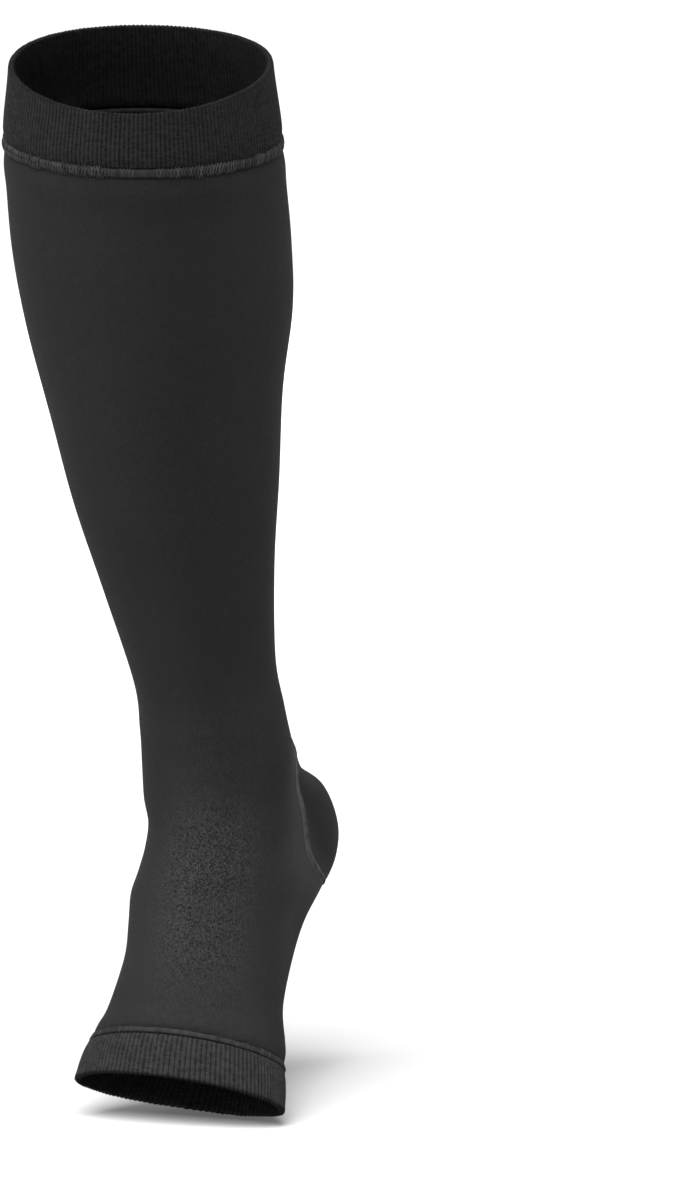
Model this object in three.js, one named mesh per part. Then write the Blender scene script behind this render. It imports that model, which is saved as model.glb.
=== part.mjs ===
// Knee-high compression stocking with an open toe, in the form that it has on a right leg
// in mid step: the heel is raised, the foot points down and a little outwards.
// Millimetres, +Z up. The front of the leg faces -Y and its inner side faces +X.
// The origin is the centre of the top opening.
import * as THREE from 'three';

// Cloth
const FABRIC_WALL = 1.5;
const HEEL_WALL = 1.8;
const BAND_WALL = 1.9;
const SEAM_GAP = 0.3;

// Ribs of the two bands: how many stand round each, and how far they rise
const TOP_RIBS = 190;
const TOP_RIB_RISE = 0.5;
const TOE_RIBS = 124;
const TOE_RIB_RISE = 0.4;

// The raised rows of stitching between the bands and the plain knit
const TOP_SEAM_HEIGHT = 3.2;
const TOP_SEAM_RISE = 0.9;
const TOE_SEAM_HEIGHT = 2.4;
const TOE_SEAM_RISE = 0.7;

// The pose, in degrees
const LEAN_FORWARD = 6;
const LEAN_OUTWARD = 4;
const LEG_TURN = 8;
const FOOT_TURN = 8;

// The sections of the tube, from the top edge down to the toe edge, in the leg's own frame.
// The ankle's centre is at 0, 0. `ahead` runs forward from it and `up` runs up the shin.
const SECTION_COLUMNS = [
  'frontAhead', 'frontUp', // the foremost point
  'backAhead', 'backUp', // the rearmost point
  'outerHalf', 'innerHalf', // half widths towards the outer and the inner side of the leg
  'shift', // where the middle lies across the leg, inwards counted up
  'tilt', // degrees by which the inner side stands higher than the outer one
  'sideRise', // how far both sides stand above the straight line from front to back
  'squareness', // roundness of the rear half: 2 is an ellipse, and more is flatter
  'widest', // where it is widest, as a share of the way from front to back
  'heelSwing', // how far its back is swung towards the inner side
];
const SECTIONS = [
  ['top edge', 54, 309, -60, 322, 57, 57, -10.5, -5, 3, 2, 0.5, 0],
  ['under the band', 54, 285, -66, 284, 60, 60, -13, -5, 0, 2, 0.5, 0],
  ['upper calf', 52, 262, -71, 261, 62, 60, -13, -4, 0, 2, 0.5, 0],
  ['widest calf', 50, 234, -75, 232, 62, 60, -13.5, -3, 0, 2, 0.5, 0],
  ['lower calf', 47, 202, -73, 202, 59, 58, -13.5, -1, 0, 2, 0.5, 0],
  ['end of the calf', 44, 165, -65, 165, 52, 51, -13.5, 1, 0, 2, 0.5, 0],
  ['middle of the shin', 41, 125, -55, 125, 46, 45, -12, 2, 0, 2, 0.5, 0],
  ['lower shin', 38, 85, -46, 87, 39, 37, -9, 3, 0, 2, 0.5, 0],
  ['narrowest', 36, 42, -41, 46, 32, 31, -6, 3, 0, 2, 0.5, 0],
  ['above the heel', 37, 20, -43, 24, 32, 32, -4.5, 2, 0, 2, 0.45, 0],
  ['ankle', 39, 5, -49, 6, 33, 33, -3.5, 0, 0, 2, 0.42, 0],
  ['top of the heel', 43, -8, -60, -14, 34, 33, -3, 0, 0, 2, 0.42, 2],
  ['back of the heel', 47, -18, -71, -28, 33, 34, -3, 0, 0, 2, 0.42, 12],
  ['corner of the heel', 51, -26, -69, -46, 35, 34, -3, 0, 0, 2.1, 0.43, 17.5],
  ['under the heel', 56, -34, -58, -59, 39.5, 33, -2, 0, 0, 2.2, 0.46, 16],
  ['end of the heel', 60, -42, -38, -68, 42, 32, -2, 0, 0, 2.3, 0.48, 12.5],
  ['start of the arch', 66, -51, -12, -77, 40.5, 31, -2, 0, 0, 2.3, 0.5, 9],
  ['arch', 73, -62, 14, -88, 39, 32, -2, -1, 0, 2.3, 0.52, 6],
  ['end of the arch', 81, -74, 40, -101, 40, 34, -2, -4, 0, 2.3, 0.54, 3],
  ['ball of the foot', 88, -84, 57, -112, 41, 40, -3, -6, 0, 2.3, 0.55, 0],
  ['above the toe band', 96, -94, 71, -120, 44, 43, -4, -7, 0, 2.3, 0.55, 0],
  ['toe edge', 106, -110, 88, -131, 47, 47, -5, -8, 0, 2.3, 0.55, 0],
];
const TOP_EDGE = 0;
const UNDER_TOP_BAND = 1;
const FOOT_TURN_STARTS = 8;
const FOOT_TURN_ENDS = 13;
const ABOVE_TOE_BAND = 20;
const TOE_EDGE = 21;

// The heel pocket, a rounded rectangle on the back of the tube: the courses where it begins
// and ends, and how far it reaches to either side of the back, in degrees
const HEEL_TOP_COURSE = 9.9;
const HEEL_END_COURSE = 15;
const HEEL_REACH = 90;
const HEEL_CORNER_POWER = 3;

// How finely the walls are divided
const FRONT_COLUMNS = 22;
const HEEL_HALF_COLUMNS = 11;
const HEEL_COLUMN_CROWDING = 0.7;
const LEG_STRIPS = 22;
const FOOT_STRIPS = 12;
const HEEL_STRIPS = 8;
const SEAM_COLUMNS = 84;
const SEAM_SHARES = [0, 0.3, 0.7, 1]; // shares of a seam's height, raised but for the ends
const BAND_STRIPS = 2;
const RIBS_PER_INNER_COLUMN = 2;

// The step, in courses and in radians, over which directions on the surface are measured
const PROBE = 0.005;

const KNIT_FINISH = { color: '#323234', roughness: 0.85, metalness: 0 };
const RIB_FINISH = { color: '#2c2c2e', roughness: 0.9, metalness: 0 };
const STITCH_FINISH = { color: '#4a4a4c', roughness: 0.95, metalness: 0 };

const DEGREE = Math.PI / 180;
const UPWARDS = new THREE.Vector3(0, 0, 1);

// A course is a place along the tube: 0 is the first section, 1 the second, and so on.
// Sections between two courses follow a smooth curve through their neighbours.
function sectionAt(course) {
  const last = SECTIONS.length - 1;
  const index = THREE.MathUtils.clamp(Math.floor(course), 0, last - 1);
  const share = course - index;
  const section = {};
  SECTION_COLUMNS.forEach((name, column) => {
    const value = (row) => SECTIONS[row][column + 1];
    const start = value(index);
    const end = value(index + 1);
    const before = index > 0 ? value(index - 1) : 2 * start - end;
    const after = index + 2 <= last ? value(index + 2) : 2 * end - start;
    const bend = 2 * before - 5 * start + 4 * end - after;
    const swing = 3 * start - before - 3 * end + after;
    section[name] = start + 0.5 * share * (end - before + share * (bend + share * swing));
  });
  return section;
}

// A point of the outer surface in the leg's frame. The angle runs from the front, 0,
// over the inner side to the back, 180 degrees.
function legPoint(course, angle) {
  const section = sectionAt(course);
  const rounding = 2 / (Math.cos(angle) < 0 ? section.squareness : 2);
  const roundedSine = Math.sign(Math.sin(angle)) * Math.abs(Math.sin(angle)) ** rounding;
  const roundedCosine = Math.sign(Math.cos(angle)) * Math.abs(Math.cos(angle)) ** rounding;
  const evenShare = (1 - roundedCosine) / 2;
  const share = evenShare + 4 * evenShare * (1 - evenShare) * (section.widest - 0.5);
  const half = roundedSine > 0 ? section.innerHalf : section.outerHalf;
  const sideways = half * roundedSine + section.heelSwing * share * share;
  const up = THREE.MathUtils.lerp(section.frontUp, section.backUp, share)
    + section.sideRise * roundedSine ** 2
    + sideways * Math.tan(section.tilt * DEGREE);
  const ahead = THREE.MathUtils.lerp(section.frontAhead, section.backAhead, share);
  const turned = THREE.MathUtils.smoothstep(course, FOOT_TURN_STARTS, FOOT_TURN_ENDS);
  return new THREE.Vector3(section.shift + sideways, -ahead, up)
    .applyAxisAngle(UPWARDS, -FOOT_TURN * turned * DEGREE);
}

const pose = new THREE.Matrix4().makeRotationY(-LEAN_OUTWARD * DEGREE)
  .multiply(new THREE.Matrix4().makeRotationZ(-LEG_TURN * DEGREE))
  .multiply(new THREE.Matrix4().makeRotationX(LEAN_FORWARD * DEGREE));
const topCentre = legPoint(TOP_EDGE, 0).add(legPoint(TOP_EDGE, Math.PI)).multiplyScalar(0.5);

function surfacePoint(course, angle) {
  return legPoint(course, angle).sub(topCentre).applyMatrix4(pose);
}

// The directions along the tube and round it, as millimetres for each course or radian
function directionAlong(course, angle) {
  return surfacePoint(course + PROBE, angle).sub(surfacePoint(course - PROBE, angle))
    .divideScalar(2 * PROBE);
}

function directionRound(course, angle) {
  return surfacePoint(course, angle + PROBE).sub(surfacePoint(course, angle - PROBE))
    .divideScalar(2 * PROBE);
}

function surfaceNormal(course, angle) {
  return directionAlong(course, angle).cross(directionRound(course, angle)).normalize();
}

// A point of the cloth, moved out from the outer surface, or in with a negative distance
function clothPoint(course, angle, outwards) {
  return surfacePoint(course, angle).addScaledVector(surfaceNormal(course, angle), outwards);
}

// The course that lies a distance further along the tube
function courseBeyond(course, angle, distance) {
  return course + distance / directionAlong(course, angle).length();
}

// Joins two loops of points, given as lists of vertex numbers, by triangles that face out.
// The loops may have different numbers of points.
function joinLoops(triangles, first, second) {
  let i = 0;
  let j = 0;
  while (i < first.length || j < second.length) {
    const here = first[i % first.length];
    const there = second[j % second.length];
    const firstIsBehind = (i + 1) * second.length <= (j + 1) * first.length;
    if (j === second.length || (i < first.length && firstIsBehind)) {
      i += 1;
      triangles.push(here, there, first[i % first.length]);
    } else {
      j += 1;
      triangles.push(here, there, second[j % second.length]);
    }
  }
}

// A closed body whose skin runs over a list of loops, and back to the first one if it is a ring
function bodyOverLoops(loops, isRing) {
  const positions = [];
  const numbered = loops.map((loop) => loop.map((point) => {
    positions.push(point.x, point.y, point.z);
    return positions.length / 3 - 1;
  }));
  const triangles = [];
  const joins = isRing ? numbered.length : numbered.length - 1;
  for (let index = 0; index < joins; index += 1) {
    joinLoops(triangles, numbered[index], numbered[(index + 1) % numbered.length]);
  }
  const geometry = new THREE.BufferGeometry();
  geometry.setAttribute('position', new THREE.Float32BufferAttribute(positions, 3));
  geometry.setIndex(triangles);
  geometry.computeVertexNormals();
  return geometry;
}

const evenAngles = (count) => Array.from({ length: count }, (_, index) => index / count * 2 * Math.PI);
const evenShares = (strips) => Array.from({ length: strips + 1 }, (_, index) => index / strips);

const HEEL_MIDDLE_COURSE = (HEEL_TOP_COURSE + HEEL_END_COURSE) / 2;
const HEEL_HALF_COURSES = (HEEL_END_COURSE - HEEL_TOP_COURSE) / 2;

// How far the heel pocket reaches from the back to either side, in radians. Here and below,
// `margin` draws the pocket's outline in by that many millimetres.
function heelReach(margin) {
  const side = Math.PI - HEEL_REACH * DEGREE;
  return HEEL_REACH * DEGREE - margin / directionRound(HEEL_MIDDLE_COURSE, side).length();
}

// The course of the pocket's upper edge, with side -1, or its lower one, with side 1
function heelEdge(fromBack, side, margin) {
  const share = Math.min(1, Math.abs(fromBack) / heelReach(margin));
  const height = (1 - share ** HEEL_CORNER_POWER) ** (1 / HEEL_CORNER_POWER);
  const edge = HEEL_MIDDLE_COURSE + side * HEEL_HALF_COURSES * height;
  return courseBeyond(edge, Math.PI + fromBack, -side * margin * Math.sign(height));
}

// The columns of the heel pocket, as angles from the back, which crowd towards its side edges
function heelColumns(margin) {
  const columns = [];
  for (let index = -HEEL_HALF_COLUMNS; index <= HEEL_HALF_COLUMNS; index += 1) {
    const even = index / HEEL_HALF_COLUMNS;
    const crowded = Math.sin(even * Math.PI / 2);
    columns.push(heelReach(margin) * THREE.MathUtils.lerp(even, crowded, HEEL_COLUMN_CROWDING));
  }
  return columns;
}

// The columns of the leg and the foot: even ones round the front, and the pocket's own behind
function legColumns() {
  const frontReach = Math.PI - HEEL_REACH * DEGREE;
  const front = evenShares(FRONT_COLUMNS).slice(0, -1)
    .map((share) => THREE.MathUtils.lerp(-frontReach, frontReach, share));
  const back = heelColumns(0).slice(0, -1).map((fromBack) => Math.PI + fromBack);
  return [...front, ...back];
}

// The edge that a leg or foot panel has at an angle: the ankle line in front, and the outline
// of the heel pocket behind
function ankleEdge(angle, side) {
  const fromBack = angle > Math.PI / 2 ? angle - Math.PI : Math.PI;
  const isBehind = Math.abs(fromBack) < HEEL_REACH * DEGREE;
  const edge = isBehind ? heelEdge(fromBack, side, 0) : HEEL_MIDDLE_COURSE;
  return courseBeyond(edge, angle, side * SEAM_GAP / 2);
}

// A tube of cloth between two edges, each a function that gives the course at an angle.
// `rise` lifts the outer points, by the share of the height and the number of the column.
function clothTube({ from, to, columns, innerColumns = columns, shares, wall, rise = () => 0 }) {
  const loop = (share, angles, outwards) => angles.map((angle, column) => {
    const course = THREE.MathUtils.lerp(from(angle), to(angle), share);
    return clothPoint(course, angle, outwards(share, column));
  });
  const outside = shares.map((share) => loop(share, columns, rise));
  const inside = shares.map((share) => loop(share, innerColumns, () => -wall)).reverse();
  return bodyOverLoops([...outside, ...inside], true);
}

// The heel pocket: its columns are loops round the wall, and at each end they close to an edge
function heelPocket() {
  const loops = heelColumns(SEAM_GAP).map((fromBack, column, all) => {
    const angle = Math.PI + fromBack;
    const top = heelEdge(fromBack, -1, SEAM_GAP / 2);
    const end = heelEdge(fromBack, 1, SEAM_GAP / 2);
    const isTip = column === 0 || column === all.length - 1;
    const shares = isTip ? [0.5] : evenShares(HEEL_STRIPS);
    const courses = shares.map((share) => THREE.MathUtils.lerp(top, end, share));
    const outside = courses.map((course) => clothPoint(course, angle, 0));
    const inside = courses.map((course) => clothPoint(course, angle, -HEEL_WALL)).reverse();
    return [...outside, ...inside];
  });
  return bodyOverLoops(loops.reverse(), false);
}

// A ribbed band: every second outer point stands out as a rib
function ribbedBand(from, to, ribs, ribRise) {
  return clothTube({
    from,
    to,
    columns: evenAngles(2 * ribs),
    innerColumns: evenAngles(ribs / RIBS_PER_INNER_COLUMN),
    shares: evenShares(BAND_STRIPS),
    wall: BAND_WALL,
    rise: (share, column) => (column % 2) * ribRise,
  });
}

// A raised row of stitching that starts a distance beyond a course
function seamRidge(course, start, height, seamRise) {
  return clothTube({
    from: (angle) => courseBeyond(course, angle, start),
    to: (angle) => courseBeyond(course, angle, start + height),
    columns: evenAngles(SEAM_COLUMNS),
    shares: SEAM_SHARES,
    wall: BAND_WALL,
    rise: (share) => (share > 0 && share < 1 ? seamRise : 0),
  });
}

const stocking = new THREE.Group();
stocking.name = 'compression_stocking';

function addPiece(name, geometry, finish) {
  const mesh = new THREE.Mesh(geometry, new THREE.MeshStandardMaterial(finish));
  mesh.name = name;
  stocking.add(mesh);
}

addPiece('top_band', ribbedBand(
  () => TOP_EDGE,
  () => UNDER_TOP_BAND,
  TOP_RIBS,
  TOP_RIB_RISE,
), RIB_FINISH);

addPiece('top_seam', seamRidge(
  UNDER_TOP_BAND,
  SEAM_GAP,
  TOP_SEAM_HEIGHT,
  TOP_SEAM_RISE,
), STITCH_FINISH);

addPiece('leg', clothTube({
  from: (angle) => courseBeyond(UNDER_TOP_BAND, angle, 2 * SEAM_GAP + TOP_SEAM_HEIGHT),
  to: (angle) => ankleEdge(angle, -1),
  columns: legColumns(),
  shares: evenShares(LEG_STRIPS),
  wall: FABRIC_WALL,
}), KNIT_FINISH);

addPiece('heel', heelPocket(), KNIT_FINISH);

addPiece('foot', clothTube({
  from: (angle) => ankleEdge(angle, 1),
  to: (angle) => courseBeyond(ABOVE_TOE_BAND, angle, -2 * SEAM_GAP - TOE_SEAM_HEIGHT),
  columns: legColumns(),
  shares: evenShares(FOOT_STRIPS),
  wall: FABRIC_WALL,
}), KNIT_FINISH);

addPiece('toe_seam', seamRidge(
  ABOVE_TOE_BAND,
  -SEAM_GAP - TOE_SEAM_HEIGHT,
  TOE_SEAM_HEIGHT,
  TOE_SEAM_RISE,
), STITCH_FINISH);

addPiece('toe_band', ribbedBand(
  () => ABOVE_TOE_BAND,
  () => TOE_EDGE,
  TOE_RIBS,
  TOE_RIB_RISE,
), RIB_FINISH);

export default stocking;
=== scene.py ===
"""A knee-high compression stocking with an open toe, in its worn form.

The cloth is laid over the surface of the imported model: one plain knitted tube with a heel
pocket, a ribbed band at either end, and the stitching that holds them together.
Lengths are millimetres up to the point where a mesh is made, which is in metres.
"""

import math

import bmesh
import bpy
import numpy as np
from mathutils import Matrix, Vector


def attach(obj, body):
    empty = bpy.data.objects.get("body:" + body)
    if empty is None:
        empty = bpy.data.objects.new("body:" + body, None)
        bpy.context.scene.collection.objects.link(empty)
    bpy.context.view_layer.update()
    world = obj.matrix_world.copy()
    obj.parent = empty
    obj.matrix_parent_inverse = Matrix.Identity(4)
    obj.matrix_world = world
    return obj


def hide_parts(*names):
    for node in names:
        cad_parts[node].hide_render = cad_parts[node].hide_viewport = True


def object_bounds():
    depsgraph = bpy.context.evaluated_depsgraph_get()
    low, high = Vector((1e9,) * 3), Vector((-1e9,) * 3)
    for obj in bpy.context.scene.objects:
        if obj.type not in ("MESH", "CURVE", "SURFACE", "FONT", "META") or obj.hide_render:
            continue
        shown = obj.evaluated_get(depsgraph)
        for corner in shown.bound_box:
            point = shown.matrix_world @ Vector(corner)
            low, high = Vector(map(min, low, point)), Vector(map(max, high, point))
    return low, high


bl_info = {
    "name": "Compression Stocking",
    "version": (1, 0, 0),
    "blender": (4, 5, 0),
    "location": "3D View > Sidebar > Stocking",
    "description": "Knits, sews and lights a knee-high compression stocking",
    "category": "Object",
}

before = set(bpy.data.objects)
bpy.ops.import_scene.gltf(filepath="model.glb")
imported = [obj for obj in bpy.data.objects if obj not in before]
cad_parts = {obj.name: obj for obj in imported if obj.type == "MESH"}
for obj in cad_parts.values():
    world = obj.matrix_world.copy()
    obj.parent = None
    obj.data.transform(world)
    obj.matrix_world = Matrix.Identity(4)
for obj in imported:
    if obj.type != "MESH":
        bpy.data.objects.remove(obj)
CAD_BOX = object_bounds()

MM = 0.001
DEGREE = math.pi / 180

# The sections of the tube from the top edge down to the toe edge, before the pose:
# the foremost point (ahead, up), the rearmost point (ahead, up), the half widths towards the
# outer and the inner side, the shift of the middle, the tilt in degrees, the rise of the
# sides, the squareness of the rear half, the place where it is widest, and the heel's swing
SECTIONS = np.array([
    (54, 309, -60, 322, 57, 57, -10.5, -5, 3, 2, 0.5, 0),  # top edge
    (54, 285, -66, 284, 60, 60, -13, -5, 0, 2, 0.5, 0),  # under the band
    (52, 262, -71, 261, 62, 60, -13, -4, 0, 2, 0.5, 0),  # upper calf
    (50, 234, -75, 232, 62, 60, -13.5, -3, 0, 2, 0.5, 0),  # widest calf
    (47, 202, -73, 202, 59, 58, -13.5, -1, 0, 2, 0.5, 0),  # lower calf
    (44, 165, -65, 165, 52, 51, -13.5, 1, 0, 2, 0.5, 0),  # end of the calf
    (41, 125, -55, 125, 46, 45, -12, 2, 0, 2, 0.5, 0),  # middle of the shin
    (38, 85, -46, 87, 39, 37, -9, 3, 0, 2, 0.5, 0),  # lower shin
    (36, 42, -41, 46, 32, 31, -6, 3, 0, 2, 0.5, 0),  # narrowest
    (37, 20, -43, 24, 32, 32, -4.5, 2, 0, 2, 0.45, 0),  # above the heel
    (39, 5, -49, 6, 33, 33, -3.5, 0, 0, 2, 0.42, 0),  # ankle
    (43, -8, -60, -14, 34, 33, -3, 0, 0, 2, 0.42, 2),  # top of the heel
    (47, -18, -71, -28, 33, 34, -3, 0, 0, 2, 0.42, 12),  # back of the heel
    (51, -26, -69, -46, 35, 34, -3, 0, 0, 2.1, 0.43, 17.5),  # corner of the heel
    (56, -34, -58, -59, 39.5, 33, -2, 0, 0, 2.2, 0.46, 16),  # under the heel
    (60, -42, -38, -68, 42, 32, -2, 0, 0, 2.3, 0.48, 12.5),  # end of the heel
    (66, -51, -12, -77, 40.5, 31, -2, 0, 0, 2.3, 0.5, 9),  # start of the arch
    (73, -62, 14, -88, 39, 32, -2, -1, 0, 2.3, 0.52, 6),  # arch
    (81, -74, 40, -101, 40, 34, -2, -4, 0, 2.3, 0.54, 3),  # end of the arch
    (88, -84, 57, -112, 41, 40, -3, -6, 0, 2.3, 0.55, 0),  # ball of the foot
    (96, -94, 71, -120, 44, 43, -4, -7, 0, 2.3, 0.55, 0),  # above the toe band
    (106, -110, 88, -131, 47, 47, -5, -8, 0, 2.3, 0.55, 0),  # toe edge
], dtype=float)
LAST_SECTION = len(SECTIONS) - 1
TOP_EDGE, UNDER_TOP_BAND, ABOVE_TOE_BAND, TOE_EDGE = 0.0, 1.0, 20.0, 21.0
FOOT_TURN_STARTS, FOOT_TURN_ENDS = 8, 13

# The pose, in degrees
LEAN_FORWARD, LEAN_OUTWARD, LEG_TURN, FOOT_TURN = 6, 4, 8, 8

# The heel pocket, a rounded rectangle on the back of the tube: its first and last course,
# its reach to either side in degrees, and how square its corners are
HEEL_TOP_COURSE, HEEL_END_COURSE, HEEL_REACH, HEEL_CORNER_POWER = 9.9, 15.0, 92, 3
HEEL_MIDDLE = (HEEL_TOP_COURSE + HEEL_END_COURSE) / 2
HEEL_HALF = (HEEL_END_COURSE - HEEL_TOP_COURSE) / 2

# How far on either side a direction is measured, in courses or in radians
PROBE = 0.005

BAND_WALL, KNIT_WALL, HEEL_WALL = 1.9, 1.5, 1.8


# the surface of the stocking


def turned(axis, degrees):
    return np.array(Matrix.Rotation(math.radians(degrees), 3, axis))


POSE = turned("Y", -LEAN_OUTWARD) @ turned("Z", -LEG_TURN) @ turned("X", LEAN_FORWARD)


def smooth(value, start=0.0, end=1.0):
    share = np.clip((value - start) / (end - start), 0, 1)
    return share * share * (3 - 2 * share)


def hill(value, middle, width, power=2):
    """A soft hill, 1 at its middle and nearly 0 at twice its width from there."""
    return np.exp(-((value - middle) / width) ** power)


def section_at(course):
    """The twelve measures at these courses, on a smooth curve through the sections."""
    index = np.clip(np.floor(course).astype(int), 0, LAST_SECTION - 1)
    share = (course - index)[..., None]
    start, end = SECTIONS[index], SECTIONS[index + 1]
    is_first = (index == 0)[..., None]
    is_last = (index + 1 == LAST_SECTION)[..., None]
    before = np.where(is_first, 2 * start - end, SECTIONS[index - 1])
    after = np.where(is_last, 2 * end - start, SECTIONS[np.minimum(index + 2, LAST_SECTION)])
    bend = 2 * before - 5 * start + 4 * end - after
    swing = 3 * start - before - 3 * end + after
    return start + 0.5 * share * (end - before + share * (bend + share * swing))


def leg_points(course, angle):
    """Points before the pose. The angle runs from the front over the inner side."""
    course, angle = np.broadcast_arrays(np.asarray(course, float), np.asarray(angle, float))
    section = section_at(course)
    (front_ahead, front_up, back_ahead, back_up, outer_half, inner_half,
     shift, tilt, side_rise, squareness, widest, heel_swing) = np.moveaxis(section, -1, 0)
    cosine, sine = np.cos(angle), np.sin(angle)
    rounding = 2 / np.where(cosine < 0, squareness, 2)
    round_sine = np.sign(sine) * np.abs(sine) ** rounding
    round_cosine = np.sign(cosine) * np.abs(cosine) ** rounding
    even = (1 - round_cosine) / 2
    share = even + 4 * even * (1 - even) * (widest - 0.5)
    half = np.where(round_sine > 0, inner_half, outer_half)
    sideways = half * round_sine + heel_swing * share * share
    up = (front_up + (back_up - front_up) * share
          + side_rise * round_sine ** 2 + sideways * np.tan(tilt * DEGREE))
    ahead = front_ahead + (back_ahead - front_ahead) * share
    turn = -FOOT_TURN * smooth(course, FOOT_TURN_STARTS, FOOT_TURN_ENDS) * DEGREE
    x, y = shift + sideways, -ahead
    return np.stack([x * np.cos(turn) - y * np.sin(turn),
                     x * np.sin(turn) + y * np.cos(turn), up], -1)


TOP_CENTRE = (leg_points(TOP_EDGE, 0) + leg_points(TOP_EDGE, math.pi)) / 2


def surface(course, angle):
    return (leg_points(course, angle) - TOP_CENTRE) @ POSE.T


def along(course, angle):
    """The direction along the tube, as millimetres for each course."""
    return (surface(course + PROBE, angle) - surface(course - PROBE, angle)) / (2 * PROBE)


def around(course, angle):
    """The direction round the tube, as millimetres for each radian."""
    return (surface(course, angle + PROBE) - surface(course, angle - PROBE)) / (2 * PROBE)


def length(vectors):
    return np.linalg.norm(vectors, axis=-1)


def unit(vectors):
    return vectors / length(vectors)[..., None]


def outwards(course, angle):
    return unit(np.cross(along(course, angle), around(course, angle)))


def cloth(course, angle, lift):
    """Points of the cloth, lifted off the surface by so many millimetres."""
    course, angle, lift = np.broadcast_arrays(course, angle, lift)
    return surface(course, angle) + outwards(course, angle) * lift[..., None]


def beyond(course, angle, distance):
    """The course that lies a distance further along the tube."""
    return course + distance / length(along(course, angle))


def ripple(angle, turns, phase):
    """An uneven wave that closes round the tube, between about -1 and 1."""
    return (0.5 * np.sin(turns * angle + phase)
            + 0.3 * np.sin((turns * 2 - 5) * angle + 2.1 * phase + 1)
            + 0.2 * np.sin((turns * 3 + 4) * angle + 0.7 * phase + 4))


def signed(angle):
    """The same angle between -180 and 180 degrees, in radians."""
    return np.where(angle > math.pi, angle - 2 * math.pi, angle)


def heel_place(sideways, lengthways):
    """The angle and course of a place on the pocket, both counted from -1 to 1."""
    return math.pi + sideways * HEEL_REACH * DEGREE, HEEL_MIDDLE + lengthways * HEEL_HALF


def pocket_reach(sideways, lengthways):
    """How far out a place on the pocket lies: 0 in the middle and 1 on the outline."""
    power = HEEL_CORNER_POWER
    return (np.abs(sideways) ** power + np.abs(lengthways) ** power) ** (1 / power)


# meshes


def put_attribute(mesh, name, kind, domain, values):
    attribute = mesh.attributes.new(name, kind, domain)
    field = "vector" if kind in {"FLOAT_VECTOR", "FLOAT2"} else "value"
    attribute.data.foreach_set(field, np.ascontiguousarray(values, np.float32).ravel())


def woven_mesh(name, points, stitches, spacing, values, closes=(True, True)):
    """A mesh over a grid of points, loops first and columns second, in millimetres.

    The Stitches map counts the stitches: so many of them round each loop, or one for each
    spacing where `stitches` is None, and one row for each spacing along the columns. The
    values are stored on the points under their names. Closes says whether the loops meet
    along the columns, and each loop its own start.
    """
    loops, columns = points.shape[:2]
    loop_joins = loops if closes[0] else loops - 1
    column_joins = columns if closes[1] else columns - 1
    first, second = np.meshgrid(np.arange(loop_joins), np.arange(column_joins), indexing="ij")
    corners = [(first, second), (first + 1, second), (first + 1, second + 1), (first, second + 1)]
    faces = np.stack([(i % loops) * columns + j % columns for i, j in corners], -1)
    mesh = bpy.data.meshes.new(name)
    mesh.from_pydata((points.reshape(-1, 3) * MM).tolist(), [], faces.reshape(-1, 4).tolist())
    steps_down = length(np.roll(points, -1, 0) - points).mean(1)
    steps_round = length(np.roll(points, -1, 1) - points).mean(0)
    down = np.concatenate([[0], np.cumsum(steps_down)]) / spacing[1]
    if stitches is None:
        across = np.concatenate([[0], np.cumsum(steps_round)]) / spacing[0]
    else:
        across = np.arange(columns + 1) / columns * stitches
    uv = np.stack([np.stack([across[j], down[i]], -1) for i, j in corners], -2)
    put_attribute(mesh, "Stitches", "FLOAT2", "CORNER", uv)
    for label, value in values.items():
        put_attribute(mesh, label, "FLOAT", "POINT", np.broadcast_to(value, (loops, columns)))
    mesh.shade_smooth()
    return mesh


def add_object(name, data):
    thing = bpy.data.objects.new(name, data)
    bpy.context.scene.collection.objects.link(thing)
    return thing


def finish_piece(piece, material, slot, *nodes):
    """Gives a piece its finish, puts it on the stocking and hides the solids under it."""
    piece.data.materials.clear()
    piece.data.materials.append(material)
    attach(piece, "root")
    if nodes:
        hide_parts(*nodes)


def even_angles(count):
    return np.arange(count) / count * 2 * math.pi


def tube_wall(start, end, profile, angles, lift):
    """Points of a closed wall round the tube.

    Each row of the profile is a loop: its share of the way from start to end, the
    millimetres that it lies further along, and its lift off the surface. The other lift
    is added to it.
    """
    share, further, raised = (column[:, None] for column in np.asarray(profile, float).T)
    near = np.where(share < 0.5, start, end)
    course = start + share * (end - start) + further / length(along(near, angles[None, :]))
    return cloth(course, np.broadcast_to(angles[None, :], course.shape), raised + lift)


# geometry node trees

# A crossed stitch: the height of its handles for an arch of 1, and the lower strand's share
HANDLE_FOR_ARCH, LOWER_STRAND = 1.33, 0.86


def new_tree(name, inputs):
    tree = bpy.data.node_groups.new(name, "GeometryNodeTree")
    tree.interface.new_socket("Geometry", in_out="INPUT", socket_type="NodeSocketGeometry")
    for label, kind, default, subtype in inputs:
        socket = tree.interface.new_socket(label, in_out="INPUT", socket_type=kind)
        if subtype:
            socket.subtype = subtype
        if default is not None:
            socket.default_value = default
    tree.interface.new_socket("Geometry", in_out="OUTPUT", socket_type="NodeSocketGeometry")
    return tree


def put(tree, kind, inputs=None, **settings):
    """Adds a node, with its settings and with its inputs linked or set."""
    node = tree.nodes.new(kind)
    for setting, value in settings.items():
        setattr(node, setting, value)
    for socket, value in (inputs or {}).items():
        target = node.inputs[socket]
        if isinstance(value, bpy.types.NodeSocket):
            tree.links.new(value, target)
        else:
            target.default_value = value
    return node


def maths(tree, operation, *values):
    node = put(tree, "ShaderNodeMath", dict(enumerate(values)), operation=operation)
    return node.outputs[0]


def random_value(tree, low, high, seed, number=None):
    inputs = {2: low, 3: high, "Seed": seed}
    if number is not None:
        inputs["ID"] = number
    node = put(tree, "FunctionNodeRandomValue", inputs, data_type="FLOAT")
    return node.outputs[1]


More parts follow.
